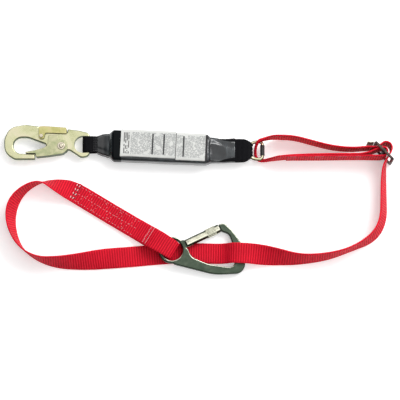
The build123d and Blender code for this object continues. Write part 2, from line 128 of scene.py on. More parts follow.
TAIL_ROUTE = [
    (-0.0405, -0.0912, 0.0120, 90, 0.0310, WEB_T),
    (-0.0440, -0.0890, 0.0048, 90, 0.0320, WEB_T),
    (-0.0640, -0.0767, 0.0043, 90, 0.0340, WEB_T),
    (-0.0900, -0.0608, 0.0043, 90, W, WEB_T),
    (-0.1220, -0.0410, 0.0019, 90, W, WEB_T),
    (-0.1600, -0.0185, 0.0016, 90, W, WEB_T),
    (-0.2130, 0.0140, 0.0016, 90, W, WEB_T),
]
ADJUSTER_ROUTE = [
    # sewn strand, outer layer, from its cut end
    (0.1500, 0.0704, 0.0179, 0, W, WEB_T),
    (0.2500, 0.0712, 0.0184, 0, W, WEB_T),
    (0.2840, 0.0708, 0.0210, 0, W, WEB_T),
    (0.3040, 0.0700, 0.0230, 0, W, WEB_T),
    # round the slider
    (0.3165, 0.0702, 0.0230, 0, W, WEB_T),
    (0.3232, 0.0755, 0.0230, 0, W, WEB_T),
    (0.3208, 0.0842, 0.0230, 0, W, WEB_T),
    (0.3125, 0.0860, 0.0230, 0, W, WEB_T),
    # sewn strand, inner layer
    (0.3035, 0.0825, 0.0230, 0, W, WEB_T),
    (0.2840, 0.0740, 0.0210, 0, W, WEB_T),
    (0.2500, 0.0744, 0.0184, 0, W, WEB_T),
    (0.1760, 0.0736, 0.0179, 0, W, WEB_T),
    (0.1400, 0.0710, 0.0179, 0, W, WEB_T),
    # bunched turn through the D-ring
    (0.1260, 0.0690, 0.0140, 0, 0.0260, 0.0030),
    (0.1140, 0.0678, 0.0060, 0, 0.0105, 0.0045),
    (0.1030, 0.0684, 0.0052, 0, 0.0096, 0.0050),
    (0.0976, 0.0750, 0.0060, 0, 0.0100, 0.0050),
    (0.0972, 0.0870, 0.0160, 0, 0.0120, 0.0050),
    (0.1010, 0.0990, 0.0250, 0, 0.0130, 0.0050),
    (0.1120, 0.1025, 0.0240, 0, 0.0150, 0.0045),
    (0.1240, 0.1065, 0.0200, 0, 0.0290, 0.0030),
    # upper strand
    (0.1380, 0.1070, 0.0179, 0, W, WEB_T),
    (0.1640, 0.1060, 0.0179, 0, W, WEB_T),
    (0.1960, 0.0970, 0.0179, 0, W, WEB_T),
    (0.2300, 0.0880, 0.0180, 0, W, WEB_T),
    (0.2640, 0.0846, 0.0195, 0, W, WEB_T),
    (0.2910, 0.0868, 0.0225, 0, W, WEB_T),
    (0.3035, 0.0857, 0.0230, 0, W, WEB_T),
    # round the slider again, to the leg
    (0.3110, 0.0905, 0.0230, 0, W, WEB_T),
    (0.3175, 0.0960, 0.0230, 0, W, WEB_T),
    (0.3285, 0.0925, 0.0230, 0, W, WEB_T),
    (0.3310, 0.0800, 0.0230, 0, W, WEB_T),
    (0.3243, 0.0718, 0.0230, 0, W, WEB_T),
]
B = BLACK_T             # short name for the tables below
LEFT_LOOP_ROUTE = [
    (-0.1510, 0.0950, 0.0142, 0, 0.0265, B),
    (-0.1660, 0.0951, 0.0145, 0, 0.0270, B),
    (-0.1780, 0.0952, 0.0160, 0, 0.0278, B),
    (-0.1900, 0.0952, 0.0170, 0, 0.0280, B),
    (-0.1981, 0.0952, 0.0150, 0, 0.0280, B),
    (-0.1985, 0.0952, 0.0060, 0, 0.0280, B),
    (-0.1900, 0.0952, 0.0040, 0, 0.0280, B),
    (-0.1780, 0.0952, 0.0052, 0, 0.0278, B),
    (-0.1660, 0.0951, 0.0078, 0, 0.0270, B),
    (-0.1510, 0.0950, 0.0082, 0, 0.0265, B),
]
RIGHT_LOOP_ROUTE = [
    (0.0260, 0.0838, 0.0176, 0, 0.0398, B),
    (0.0560, 0.0839, 0.0178, 0, 0.0398, B),
    (0.0700, 0.0840, 0.0186, 0, 0.0396, B),
    (0.0810, 0.0842, 0.0196, 0, 0.0380, B),
    (0.0900, 0.0844, 0.0192, 0, 0.0260, 0.0040),
    (0.0921, 0.0844, 0.0140, 0, 0.0160, 0.0045),
    (0.0900, 0.0844, 0.0088, 0, 0.0260, 0.0040),
    (0.0810, 0.0842, 0.0084, 0, 0.0380, B),
    (0.0700, 0.0840, 0.0094, 0, 0.0396, B),
    (0.0560, 0.0839, 0.0102, 0, 0.0398, B),
    (0.0260, 0.0838, 0.0104, 0, 0.0398, B),
]
# The tear-away webbing and the backup strap lie folded, pass over pass, along the pack.
TEAR_ROUTE = [
    (-0.1380, 0.0920, 0.0043, 0, 0.044, B), (-0.0662, 0.0889, 0.0043, 0, 0.044, B),
    (0.0060, 0.0857, 0.0043, 0, 0.044, B), (0.0100, 0.0855, 0.0060, 0, 0.044, B),
    (0.0060, 0.0857, 0.0077, 0, 0.044, B), (-0.0662, 0.0889, 0.0077, 0, 0.044, B),
    (-0.1380, 0.0920, 0.0077, 0, 0.044, B), (-0.1420, 0.0922, 0.0094, 0, 0.044, B),
    (-0.1380, 0.0920, 0.0111, 0, 0.044, B), (-0.0662, 0.0889, 0.0111, 0, 0.044, B),
    (0.0060, 0.0857, 0.0111, 0, 0.044, B), (0.0100, 0.0855, 0.0128, 0, 0.044, B),
    (0.0060, 0.0857, 0.0145, 0, 0.044, B), (-0.0662, 0.0889, 0.0145, 0, 0.044, B),
    (-0.1380, 0.0920, 0.0145, 0, 0.044, B),
]
BACKUP_ROUTE = [
    (-0.1340, 0.0918, 0.0183, 0, 0.044, B), (-0.0662, 0.0889, 0.0183, 0, 0.044, B),
    (0.0020, 0.0859, 0.0183, 0, 0.044, B), (0.0062, 0.0857, 0.0201, 0, 0.044, B),
    (0.0020, 0.0859, 0.0219, 0, 0.044, B), (-0.0662, 0.0889, 0.0219, 0, 0.044, B),
    (-0.1340, 0.0918, 0.0219, 0, 0.044, B),
]


# ---- node helpers ----
def node(tree, kind, inputs=None, **props):
    """A new shader node. An input is either a socket to link or a plain value."""
    made = tree.nodes.new(kind)
    for key, value in props.items():
        setattr(made, key, value)
    for key, value in (inputs or {}).items():
        if isinstance(value, bpy.types.NodeSocket):
            tree.links.new(value, made.inputs[key])
        else:
            made.inputs[key].default_value = value
    return made


def calc(tree, operation, a, b=0.0, c=0.0, clamp=False):
    """The result of one step of shader arithmetic."""
    inputs = {0: a, 1: b, 2: c}
    return node(tree, "ShaderNodeMath", inputs, operation=operation, use_clamp=clamp).outputs[0]


def mix(tree, factor, a, b, blend="MIX"):
    """Colour a turned into colour b as far as factor says."""
    made = node(tree, "ShaderNodeMix", data_type="RGBA", blend_type=blend)
    for key, value in ((0, factor), (6, a), (7, b)):
        if isinstance(value, bpy.types.NodeSocket):
            tree.links.new(value, made.inputs[key])
        else:
            made.inputs[key].default_value = value
    return made.outputs[2]


def grain(tree, place, scale, detail=3.0, rough=0.55, warp=0.0):
    """Cloudy noise from 0 to 1."""
    inputs = {"Vector": place, "Scale": scale, "Detail": detail, "Roughness": rough, "Distortion": warp}
    return node(tree, "ShaderNodeTexNoise", inputs).outputs["Fac"]


def ramp(tree, factor, *stops):
    """A colour read from a ramp whose stops are pairs of place and colour."""
    made = node(tree, "ShaderNodeValToRGB", {"Fac": factor})
    band = made.color_ramp
    while len(band.elements) < len(stops):
        band.elements.new(0.5)
    for element, (place, colour) in zip(band.elements, stops):
        element.position = place
        element.color = colour if len(colour) == 4 else (*colour, 1.0)
    return made.outputs["Color"]


def bump(tree, height, distance, strength=1.0):
    """A normal that makes height look raised by up to distance, in metres."""
    inputs = {"Height": height, "Distance": distance, "Strength": strength}
    return node(tree, "ShaderNodeBump", inputs).outputs["Normal"]


def new_material(name):
    """A material with one empty principled shader."""
    material = bpy.data.materials.new(name)
    material.use_nodes = True
    tree = material.node_tree
    tree.nodes.clear()
    out = node(tree, "ShaderNodeOutputMaterial")
    shader = node(tree, "ShaderNodeBsdfPrincipled")
    tree.links.new(shader.outputs[0], out.inputs[0])
    return material, tree, shader


def feed(tree, shader, **values):
    """Link or set the shader's inputs, named with _ for a space."""
    for key, value in values.items():
        socket = shader.inputs[key.replace("_", " ")]
        if isinstance(value, bpy.types.NodeSocket):
            tree.links.new(value, socket)
        else:
            socket.default_value = value


# ---- materials ----
def webbing(name, groove, body, crest_highlight, fuzz, pitch, yarn, wear, half, gloss):
    """Ribbed webbing, darker in its grooves and between its strands as painted shade and lighter on its
    rib crests as painted highlight: UV runs along and across the strap in metres.
    """
    material, tree, shader = new_material(name)
    place = node(tree, "ShaderNodeUVMap", uv_map="weave").outputs[0]
    split = node(tree, "ShaderNodeSeparateXYZ", {0: place})
    along, across = split.outputs[0], split.outputs[1]
    cloud = grain(tree, place, 28.0, 4.0)
    wander = calc(tree, "MULTIPLY", calc(tree, "SUBTRACT", grain(tree, place, 120.0), 0.5), 0.0010)
    phase = calc(tree, "MULTIPLY", calc(tree, "ADD", along, wander), 2 * math.pi / pitch)
    rib = calc(tree, "MULTIPLY_ADD", calc(tree, "COSINE", phase), 0.5, 0.5)
    strand = calc(tree, "MULTIPLY", across, math.pi / yarn)
    stagger = calc(tree, "MULTIPLY", calc(tree, "FLOOR", calc(tree, "DIVIDE", along, pitch)), math.pi / 2)
    twist = calc(tree, "ABSOLUTE", calc(tree, "SINE", calc(tree, "ADD", strand, stagger)))
    drawn = node(tree, "ShaderNodeMapping", {0: place, "Scale": (1.0, 6.0, 1.0)}).outputs[0]
    fibre = grain(tree, drawn, 700.0, 2.0)
    edge = calc(tree, "GREATER_THAN", calc(tree, "ABSOLUTE", across), half)
    rib = calc(tree, "MAXIMUM", rib, calc(tree, "MULTIPLY", edge, 0.7))
    # painted shade in the rib grooves, then painted highlight on the rib crests
    tone = mix(tree, calc(tree, "POWER", rib, 0.8), groove, body)
    tone = mix(tree, calc(tree, "MULTIPLY", calc(tree, "POWER", rib, 3.0), 0.55), tone, crest_highlight)
    # painted shade between the yarn strands, in the groove colour
    tone = mix(tree, calc(tree, "MULTIPLY", calc(tree, "SUBTRACT", 1.0, twist), 0.5), tone, groove)
    shade = calc(tree, "MULTIPLY_ADD", cloud, 0.5, 0.75)
    shade_colour = node(tree, "ShaderNodeCombineColor", {0: shade, 1: shade, 2: shade}).outputs[0]
    tone = mix(tree, 1.0, tone, shade_colour, "MULTIPLY")
    loose = calc(tree, "GREATER_THAN", fibre, 0.62)
    wear_and_highlight = calc(tree, "MULTIPLY", loose, calc(tree, "MULTIPLY", rib, wear))
    tone = mix(tree, wear_and_highlight, tone, fuzz)
    height = calc(tree, "ADD", calc(tree, "MULTIPLY", twist, 0.6), calc(tree, "MULTIPLY", fibre, 0.5))
    feed(tree, shader, Base_Color=tone, Normal=bump(tree, height, 0.00025))
    feed(tree, shader, Roughness=calc(tree, "MULTIPLY_ADD", fibre, 0.25, 0.45))
    shader.inputs["Specular IOR Level"].default_value = gloss
    return material


def plated(
    name, low, mid, high, side_shade, rough, scale=45.0, scratch=0.3, hollow_darkening=0.5, pit=0.00004, wear_and_highlight=None,
):
    """Plated steel: cloudy, finely scratched, darker in hollows, with painted shade where its surface
    turns away from upright and, where given, a painted highlight on bevels facing +y.
    """
    material, tree, shader = new_material(name)
    place = node(tree, "ShaderNodeTexCoord").outputs["Object"]
    cloud = grain(tree, place, scale, 5.0, 0.6, 0.6)
    tone = ramp(tree, cloud, (0.22, low), (0.5, mid), (0.78, high))
    hollow = node(tree, "ShaderNodeNewGeometry").outputs["Pointiness"]
    # darker in concave places, as the mesh's pointiness finds them
    darker_in_hollows = calc(tree, "MULTIPLY", calc(tree, "SUBTRACT", 0.5, hollow), 6.0, clamp=True)
    tone = mix(tree, calc(tree, "MULTIPLY", darker_in_hollows, hollow_darkening), tone, tuple(v * 0.25 for v in mid[:3]) + (1.0,))
    # painted shade: the colour darkens where the surface's normal turns away from upright
    facing = node(tree, "ShaderNodeSeparateXYZ", {0: node(tree, "ShaderNodeTexCoord").outputs["Normal"]})
    level = calc(tree, "ABSOLUTE", facing.outputs[2])
    side_shade_mask = calc(tree, "MULTIPLY", calc(tree, "SUBTRACT", SHADE_FROM_UPRIGHT, level), SHADE_GAIN, clamp=True)
    tone = mix(tree, side_shade_mask, tone, (*side_shade, 1.0))
    # painted highlight: a pale colour on bevels that face +y, towards the key light
    if wear_and_highlight is not None:
        bevel_highlight = calc(tree, "MULTIPLY", calc(tree, "SUBTRACT", facing.outputs[1], 0.12), 6.0, clamp=True)
        shoulder = calc(tree, "MULTIPLY", calc(tree, "SUBTRACT", level, 0.40), 5.0, clamp=True)
        bevel_highlight = calc(tree, "MULTIPLY", bevel_highlight, shoulder)
        patchy = calc(tree, "MULTIPLY_ADD", cloud, 0.8, 0.5, clamp=True)
        bevel_highlight = calc(tree, "MULTIPLY", bevel_highlight, patchy)
        tone = mix(tree, bevel_highlight, tone, (*wear_and_highlight, 1.0))
    stretch = {0: place, "Rotation": (0.0, 0.0, 0.6), "Scale": (1.0, 18.0, 6.0)}
    fine = grain(tree, node(tree, "ShaderNodeMapping", stretch).outputs[0], 260.0, 3.0)
    spots = grain(tree, place, 900.0, 2.0)
    feed(tree, shader, Base_Color=tone, Metallic=1.0)
    rough_map = calc(tree, "MULTIPLY_ADD", fine, scratch, rough - scratch / 2)
    feed(tree, shader, Roughness=calc(tree, "MULTIPLY_ADD", cloud, 0.16, rough_map, clamp=True))
    height = calc(tree, "MULTIPLY_ADD", fine, 0.5, calc(tree, "MULTIPLY", spots, 0.5))
    feed(tree, shader, Normal=bump(tree, height, pit))
    return material


def coated(name, dark, light, rough, bare=None, bump_size=0.00006, scale=220.0):
    """A dull coating, rubbed through to metal at its edges where bare is given."""
    material, tree, shader = new_material(name)
    place = node(tree, "ShaderNodeTexCoord").outputs["Object"]
    cloud = grain(tree, place, scale, 4.0)
    tone = ramp(tree, cloud, (0.35, dark), (0.65, light))
    if bare is not None:
        edge = node(tree, "ShaderNodeNewGeometry").outputs["Pointiness"]
        rub = calc(tree, "MULTIPLY", calc(tree, "SUBTRACT", edge, 0.53), 12.0, clamp=True)
        rub = calc(tree, "MULTIPLY", rub, calc(tree, "GREATER_THAN", cloud, 0.45))
        tone = mix(tree, rub, tone, bare)
        feed(tree, shader, Metallic=calc(tree, "MULTIPLY", rub, 0.9))
    feed(tree, shader, Base_Color=tone)
    feed(tree, shader, Roughness=calc(tree, "MULTIPLY_ADD", cloud, 0.25, rough - 0.12))
    feed(tree, shader, Normal=bump(tree, grain(tree, place, 1400.0, 2.0), bump_size))
    return material


def thread(name, dark, light):
    """Twisted sewing thread, a little fuzzy."""
    material, tree, shader = new_material(name)
    place = node(tree, "ShaderNodeTexCoord").outputs["Object"]
    stretch = {0: place, "Rotation": (0.0, 0.0, 0.8), "Scale": (1.0, 3.0, 1.0)}
    strands = grain(tree, node(tree, "ShaderNodeMapping", stretch).outputs[0], 1500.0, 2.0)
    feed(tree, shader, Base_Color=ramp(tree, strands, (0.35, dark), (0.65, light)), Roughness=0.55)
    feed(tree, shader, Normal=bump(tree, strands, 0.00012))
    shader.inputs["Sheen Weight"].default_value = 0.2
    return material


def film(name):
    """Dark glossy shrink film with lighter streaks that are partly its uneven tone and partly painted
    highlight, and one dull doubled band.
    """
    material, tree, shader = new_material(name)
    place = node(tree, "ShaderNodeTexCoord").outputs["Object"]
    lines = node(tree, "ShaderNodeMapping", {0: place, "Scale": (1.0, 0.35, 1.0)}).outputs[0]
    cloud = grain(tree, lines, 55.0, 5.0, 0.6, 1.2)
    dust = grain(tree, place, 600.0, 3.0)
    dark, mid, light = (0.004, 0.005, 0.006), (0.014, 0.018, 0.021), (0.050, 0.062, 0.068)
    # the lighter streaks stand partly for the film's uneven tone and partly for painted highlights
    tone = ramp(tree, cloud, (0.34, dark), (0.52, mid), (0.74, light))
    along = node(tree, "ShaderNodeSeparateXYZ", {0: place}).outputs[0]
    enter = calc(tree, "MULTIPLY", calc(tree, "SUBTRACT", along, DULL_FROM), BAND_GAIN, clamp=True)
    leave = calc(tree, "MULTIPLY", calc(tree, "SUBTRACT", DULL_TO, along), BAND_GAIN, clamp=True)
    gloss = calc(tree, "SUBTRACT", 1.0, calc(tree, "MULTIPLY", enter, leave))
    tone = mix(tree, gloss, (*dark, 1.0), tone)
    feed(tree, shader, Base_Color=tone, Coat_Weight=calc(tree, "MULTIPLY", gloss, 0.7))
    feed(tree, shader, Specular_IOR_Level=calc(tree, "MULTIPLY_ADD", gloss, 0.42, 0.08))
    feed(tree, shader, Roughness=calc(tree, "MULTIPLY_ADD", dust, 0.16, 0.12))
    ripple = calc(tree, "MULTIPLY_ADD", dust, 0.04, grain(tree, lines, 130.0, 4.0, 0.5, 0.8))
    feed(tree, shader, Normal=bump(tree, ripple, 0.0006, 0.4))
    shader.inputs["Coat Roughness"].default_value = 0.16
    shader.inputs["IOR"].default_value = 1.5
    return material


def printed_box(tree, along, across, low, high, reach):
    """1 between low and high along a label and within reach of its middle line, else 0."""
    past_low = calc(tree, "GREATER_THAN", along, low)
    inside = calc(tree, "MULTIPLY", past_low, calc(tree, "LESS_THAN", along, high))
    return calc(tree, "MULTIPLY", inside, calc(tree, "LESS_THAN", calc(tree, "ABSOLUTE", across), reach))


def printed_label(name, bars, title):
    """White vinyl with unreadable rows of grey dashes, heavy column rules and a title block."""
    material, tree, shader = new_material(name)
    place = node(tree, "ShaderNodeUVMap", uv_map="weave").outputs[0]
    split = node(tree, "ShaderNodeSeparateXYZ", {0: place})
    along, across = split.outputs[0], split.outputs[1]
    row = calc(tree, "DIVIDE", across, TEXT_ROW)
    on_row = calc(tree, "LESS_THAN", calc(tree, "FRACT", row), 0.52)
    word = calc(tree, "FLOOR", calc(tree, "DIVIDE", along, TEXT_WORD))
    cell = node(tree, "ShaderNodeCombineXYZ", {0: word, 1: calc(tree, "FLOOR", row), 2: 3.0}).outputs[0]
    chance = node(tree, "ShaderNodeTexWhiteNoise", {0: cell}).outputs["Value"]
    printed = calc(tree, "MULTIPLY", on_row, calc(tree, "GREATER_THAN", chance, 0.30))
    patch = grain(tree, place, 75.0, 1.0)
    printed = calc(tree, "MULTIPLY", printed, calc(tree, "GREATER_THAN", patch, 0.40))
    inner = calc(tree, "LESS_THAN", calc(tree, "ABSOLUTE", across), TEXT_REACH)
    printed = calc(tree, "MULTIPLY", printed, inner)
    printed = calc(tree, "MULTIPLY", printed, calc(tree, "GREATER_THAN", along, title[1] + 0.0016))
    dingy, clean = (0.60, 0.61, 0.585), (0.70, 0.705, 0.68)
    paper = ramp(tree, grain(tree, place, 40.0, 4.0), (0.3, dingy), (0.7, clean))
    tone = mix(tree, calc(tree, "MULTIPLY", printed, 0.85), paper, (0.10, 0.11, 0.12, 1.0))
    solid = 0.0
    for low, high in bars:
        solid = calc(tree, "MAXIMUM", solid, printed_box(tree, along, across, low, high, BAR_REACH))
    block = printed_box(tree, along, across, title[0], title[1], TITLE_REACH)
    block_cell = node(tree, "ShaderNodeCombineXYZ", {
        0: calc(tree, "FLOOR", calc(tree, "DIVIDE", along, TITLE_LETTER)),
        1: calc(tree, "FLOOR", calc(tree, "DIVIDE", across, TITLE_ROW)),
    }).outputs[0]
    block_chance = node(tree, "ShaderNodeTexWhiteNoise", {0: block_cell}).outputs["Value"]
    letter = calc(tree, "LESS_THAN", calc(tree, "FRACT", calc(tree, "DIVIDE", along, TITLE_LETTER)), 0.68)
    letter = calc(tree, "MULTIPLY", letter, calc(tree, "GREATER_THAN", block_chance, 0.28))
    block = calc(tree, "MULTIPLY", block, letter)
    solid = calc(tree, "MAXIMUM", solid, calc(tree, "MULTIPLY", block, 0.85))
    tone = mix(tree, solid, tone, (0.02, 0.02, 0.022, 1.0))
    feed(tree, shader, Base_Color=tone)
    feed(tree, shader, Roughness=calc(tree, "MULTIPLY_ADD", grain(tree, place, 300.0), 0.2, 0.22))
    feed(tree, shader, Normal=bump(tree, grain(tree, place, 60.0, 3.0), 0.0006, 0.6))
    shader.inputs["Coat Weight"].default_value = 0.5
    shader.inputs["Coat Roughness"].default_value = 0.12
    return material


# the first and third colours of each webbing are painted shade for its grooves and painted highlight for
# its crests
RED = webbing(
    "red_webbing", (0.42, 0.003, 0.014, 1), (0.80, 0.007, 0.026, 1), (0.94, 0.020, 0.052, 1),
    fuzz=(0.90, 0.13, 0.18, 1), pitch=RIB, yarn=0.0011, wear=0.20, half=0.0166, gloss=0.10,
)
BLACK = webbing(
    "black_webbing", (0.002, 0.002, 0.003, 1), (0.006, 0.006, 0.007, 1), (0.014, 0.014, 0.016, 1),
    fuzz=(0.05, 0.05, 0.055, 1), pitch=BLACK_RIB, yarn=0.0011, wear=0.15, half=0.0300, gloss=0.06,
)
HOOK = plated(
    "hook_zinc", (0.50, 0.52, 0.27), (0.74, 0.73, 0.46), (0.88, 0.78, 0.60),
    side_shade=(0.075, 0.120, 0.045), rough=0.22, scale=34.0,
)
HOOK_GATE = plated(
    "hook_gate_zinc", (0.24, 0.34, 0.16), (0.55, 0.56, 0.33), (0.80, 0.74, 0.52),
    side_shade=(0.050, 0.085, 0.035), rough=0.26, scale=60.0,
)
LEVER = plated(
    "lever_zinc", (0.48, 0.46, 0.16), (0.66, 0.62, 0.28), (0.78, 0.60, 0.38),
    side_shade=(0.060, 0.070, 0.020), rough=0.28, scale=60.0,
)
RIVET = plated(
    "rivet_zinc", (0.50, 0.46, 0.34), (0.78, 0.70, 0.55), (0.88, 0.80, 0.68),
    side_shade=(0.060, 0.040, 0.020), rough=0.26, scale=120.0,
)
SPRING = plated(
    "spring_steel", (0.32, 0.32, 0.33), (0.55, 0.55, 0.56), (0.68, 0.68, 0.70),
    side_shade=(0.06, 0.06, 0.06), rough=0.28, scale=160.0,
)
RING = plated(
    "ring_zinc", (0.44, 0.40, 0.22), (0.72, 0.66, 0.44), (0.84, 0.78, 0.58),
    side_shade=(0.075, 0.060, 0.022), rough=0.22, scale=90.0,
)
# its pale colour on bevels facing +y is a painted highlight
FORGED = plated(
    "carabiner_forged", (0.050, 0.072, 0.050), (0.078, 0.104, 0.075), (0.125, 0.150, 0.110),
    side_shade=(0.022, 0.038, 0.022), rough=0.30, scale=60.0, scratch=0.22, hollow_darkening=0.6, pit=0.00007,
    wear_and_highlight=(0.72, 0.74, 0.62),
)
GATE = plated(
    "gate_zinc", (0.56, 0.56, 0.42), (0.78, 0.77, 0.62), (0.88, 0.87, 0.76),
    side_shade=(0.045, 0.065, 0.040), rough=0.22, scale=80.0,
)
LIP = plated(
    "slider_lip_zinc", (0.52, 0.48, 0.34), (0.72, 0.69, 0.56), (0.84, 0.82, 0.70),
    side_shade=(0.10, 0.09, 0.05), rough=0.35, scale=110.0,
)
SLIDER = coated("slider_oxide", (0.010, 0.006, 0.005), (0.040, 0.022, 0.018), 0.42, (0.10, 0.065, 0.05, 1))
RUBBER = coated("ring_rubber", (0.008, 0.008, 0.009), (0.024, 0.024, 0.026), 0.55)
THREAD_BLACK = thread("black_thread", (0.004, 0.004, 0.005), (0.030, 0.030, 0.034))
THREAD_PALE = thread("pale_thread", (0.62, 0.16, 0.19), (0.92, 0.58, 0.60))
THREAD_WHITE = thread("white_thread", (0.66, 0.52, 0.52), (0.95, 0.88, 0.86))
THREAD_RED = thread("worn_thread", (0.50, 0.04, 0.07), (0.80, 0.22, 0.27))
# painted shade: near-black red thread standing for the shaded parts of the tack
THREAD_SHADED = thread("shaded_thread", (0.030, 0.003, 0.006), (0.120, 0.010, 0.018))
FILM = film("shrink_film")
LABEL_MAIN = printed_label(
    "label_main_print", [(0.0535, 0.0562), (0.0728, 0.0755)], (0.0050, 0.0155),
)
LABEL_SIDE = printed_label("label_side_print", [(0.0112, 0.0139)], (-0.002, -0.001))
LABEL_BLACK = coated("label_black", (0.004, 0.004, 0.005), (0.014, 0.014, 0.016), 0.30)

NODE_FINISH = {
    HOOK: ["hook_body"],
    HOOK_GATE: ["hook_gate"],
    RIVET: ["hook_gate_rivet", "hook_lever_rivet"],
    LEVER: ["hook_lock_lever"],
    SPRING: ["hook_gate_spring", "hook_lever_spring", "carabiner_gate_spring", "carabiner_collar_spring"],
    RING: ["d_ring"],
    RUBBER: ["ring_wear_sleeve"],
    SLIDER: ["slider_frame", "slider_bar"],
    LIP: ["slider_lip"],
    FORGED: ["carabiner_body"],
    GATE: [
        "carabiner_gate_barrel", "carabiner_hinge_pin", "carabiner_plunger", "carabiner_nose_pin",
        "carabiner_lock_collar",
    ],
}
for material, names in NODE_FINISH.items():
    for name in names:
        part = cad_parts[name]
        if not part.material_slots:
            part.data.materials.append(material)
        for holder in part.material_slots:
            holder.link = "OBJECT"
            holder.material = material


# ---- mesh helpers ----
def mesh_object(name, points, faces, material, uv=None):
    """A smooth piece that rides on the body of the webbing and pack, with UVs in metres if given."""
    data = bpy.data.meshes.new(name)
    data.from_pydata(points, [], faces)
    if uv is not None:
        layer = data.uv_layers.new(name="weave")
        for loop in data.loops:
            layer.data[loop.index].uv = uv[loop.vertex_index]
    data.materials.append(material)
    for face in data.polygons:
        face.use_smooth = True
    data.update()
    made = bpy.data.objects.new(name, data)
    bpy.context.scene.collection.objects.link(made)
    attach(made, "lanyard")
    return made


def spline_points(name, rows, resolution=28):
    """Points read from one smooth NURBS line that has the rows as its control points."""
    data = bpy.data.curves.new(name, "CURVE")
    data.dimensions = "3D"
    data.resolution_u = resolution
    line = data.splines.new("NURBS")
    line.points.add(len(rows) - 1)
    for point, row in zip(line.points, rows):
        point.co = (*row, 1.0)
    line.order_u = 3
    line.use_endpoint_u = True
    line.resolution_u = resolution
    holder = bpy.data.objects.new(name, data)
    bpy.context.scene.collection.objects.link(holder)
    bpy.context.view_layer.update()
    mesh = bpy.data.meshes.new_from_object(holder)
    points = [v.co.copy() for v in mesh.vertices]
    bpy.data.objects.remove(holder)
    bpy.data.meshes.remove(mesh)
    bpy.data.curves.remove(data)
    return points


class Strap:
    """A strap along a smooth line, cut into even steps that carry its section's axes."""

    def __init__(self, name, route, step, fixed_side=None):
        places = spline_points(name + "_line", [row[:3] for row in route])
        forms = spline_points(name + "_form", [(row[3] / 1000, row[4], row[5]) for row in route])
        self.line = places
        run = [0.0]
        for a, b in zip(places, places[1:]):
            run.append(run[-1] + (b - a).length)
        self.length = run[-1]
        self.count = max(2, round(self.length / step)) + 1
        self.at, self.form = [], []
        k = 0
        for i in range(self.count):
            u = self.length * i / (self.count - 1)
            while k < len(run) - 2 and run[k + 1] < u:
                k += 1
            f = (u - run[k]) / max(run[k + 1] - run[k], 1e-9)
            self.at.append(places[k].lerp(places[k + 1], min(1.0, f)))
            self.form.append(forms[k].lerp(forms[k + 1], min(1.0, f)))
        self.axes = []
        for i in range(self.count):
            ahead = self.at[min(i + 2, self.count - 1)] - self.at[max(i - 2, 0)]
            ahead.normalize()
            if fixed_side is not None:
                tall = Vector(fixed_side)
            else:
                side = ahead.cross(Vector((0, 0, 1))).normalized()
                lean = math.radians(self.form[i].x * 1000)
                tall = Vector((0, 0, math.cos(lean))) + side * math.sin(lean)
            self.axes.append((ahead, tall, tall.cross(ahead).normalized()))

    def place(self, u, a, lift=0.0):
        """The point u along the strap and a across it, lifted off its middle surface."""
        i = min(self.count - 1, max(0, round(u / self.length * (self.count - 1))))
        ahead, tall, thick = self.axes[i]
        return self.at[i] + tall * a + thick * lift, ahead, tall, thick

    def mesh(self, name, material, slot, rib, deep, web, across=11, seed=0.0, cup=0.0002):
        """The strap's closed skin: ribbed faces a little cupped, narrow edges, ends that taper."""
        points, faces, uv = [], [], []
        ring = 2 * across + 4
        for i in range(self.count):
            u = self.length * i / (self.count - 1)
            ahead, tall, thick = self.axes[i]
            wide, fold = self.form[i].y, max(0.0, (self.form[i].z - web) / 2)
            sway = noise.noise(Vector((u * 14, seed, 0.3))) * cup * 2
            fray = 1 + 0.010 * noise.noise(Vector((u * 90, seed, 4.1)))
            tip = min(1.0, 0.35 + min(u, self.length - u) / 0.0012)
            for j in range(ring):
                if j < across:
                    t, face = FLAT_PART * (-1 + 2 * j / (across - 1)), 1
                elif j < across + 2:
                    t, face = 1.0, EDGE_PART - 2 * EDGE_PART * (j - across)
                elif j < 2 * across + 2:
                    t, face = FLAT_PART * (1 - 2 * (j - across - 2) / (across - 1)), -1
                else:
                    t, face = -1.0, -EDGE_PART + 2 * EDGE_PART * (j - 2 * across - 2)
                a = t * wide / 2 * fray
                skew = noise.noise(Vector((u * 30, t * 1.2, seed + 9))) * 0.0006
                turn = 2 * math.pi * (u + skew) / rib + (0 if face > 0 else math.pi)
                groove = deep * (0.5 - 0.5 * math.cos(turn)) * (1 - abs(t) ** 8)
                b = face * (web / 2 * tip - (groove if abs(face) == 1 else 0.0))
                b += fold * math.cos(3 * math.pi * t) + (cup * (1 - t * t) + sway * t)
                points.append(self.at[i] + tall * a + thick * b)
                uv.append((u, a))
        for i in range(self.count - 1):
            for j in range(ring):
                a, b = i * ring + j, i * ring + (j + 1) % ring
                faces.append((a, b, b + ring, a + ring))
        faces.append(tuple(reversed(range(ring))))
        last = (self.count - 1) * ring
        faces.append(tuple(range(last, last + ring)))
        return mesh_object(name, points, faces, material, uv)


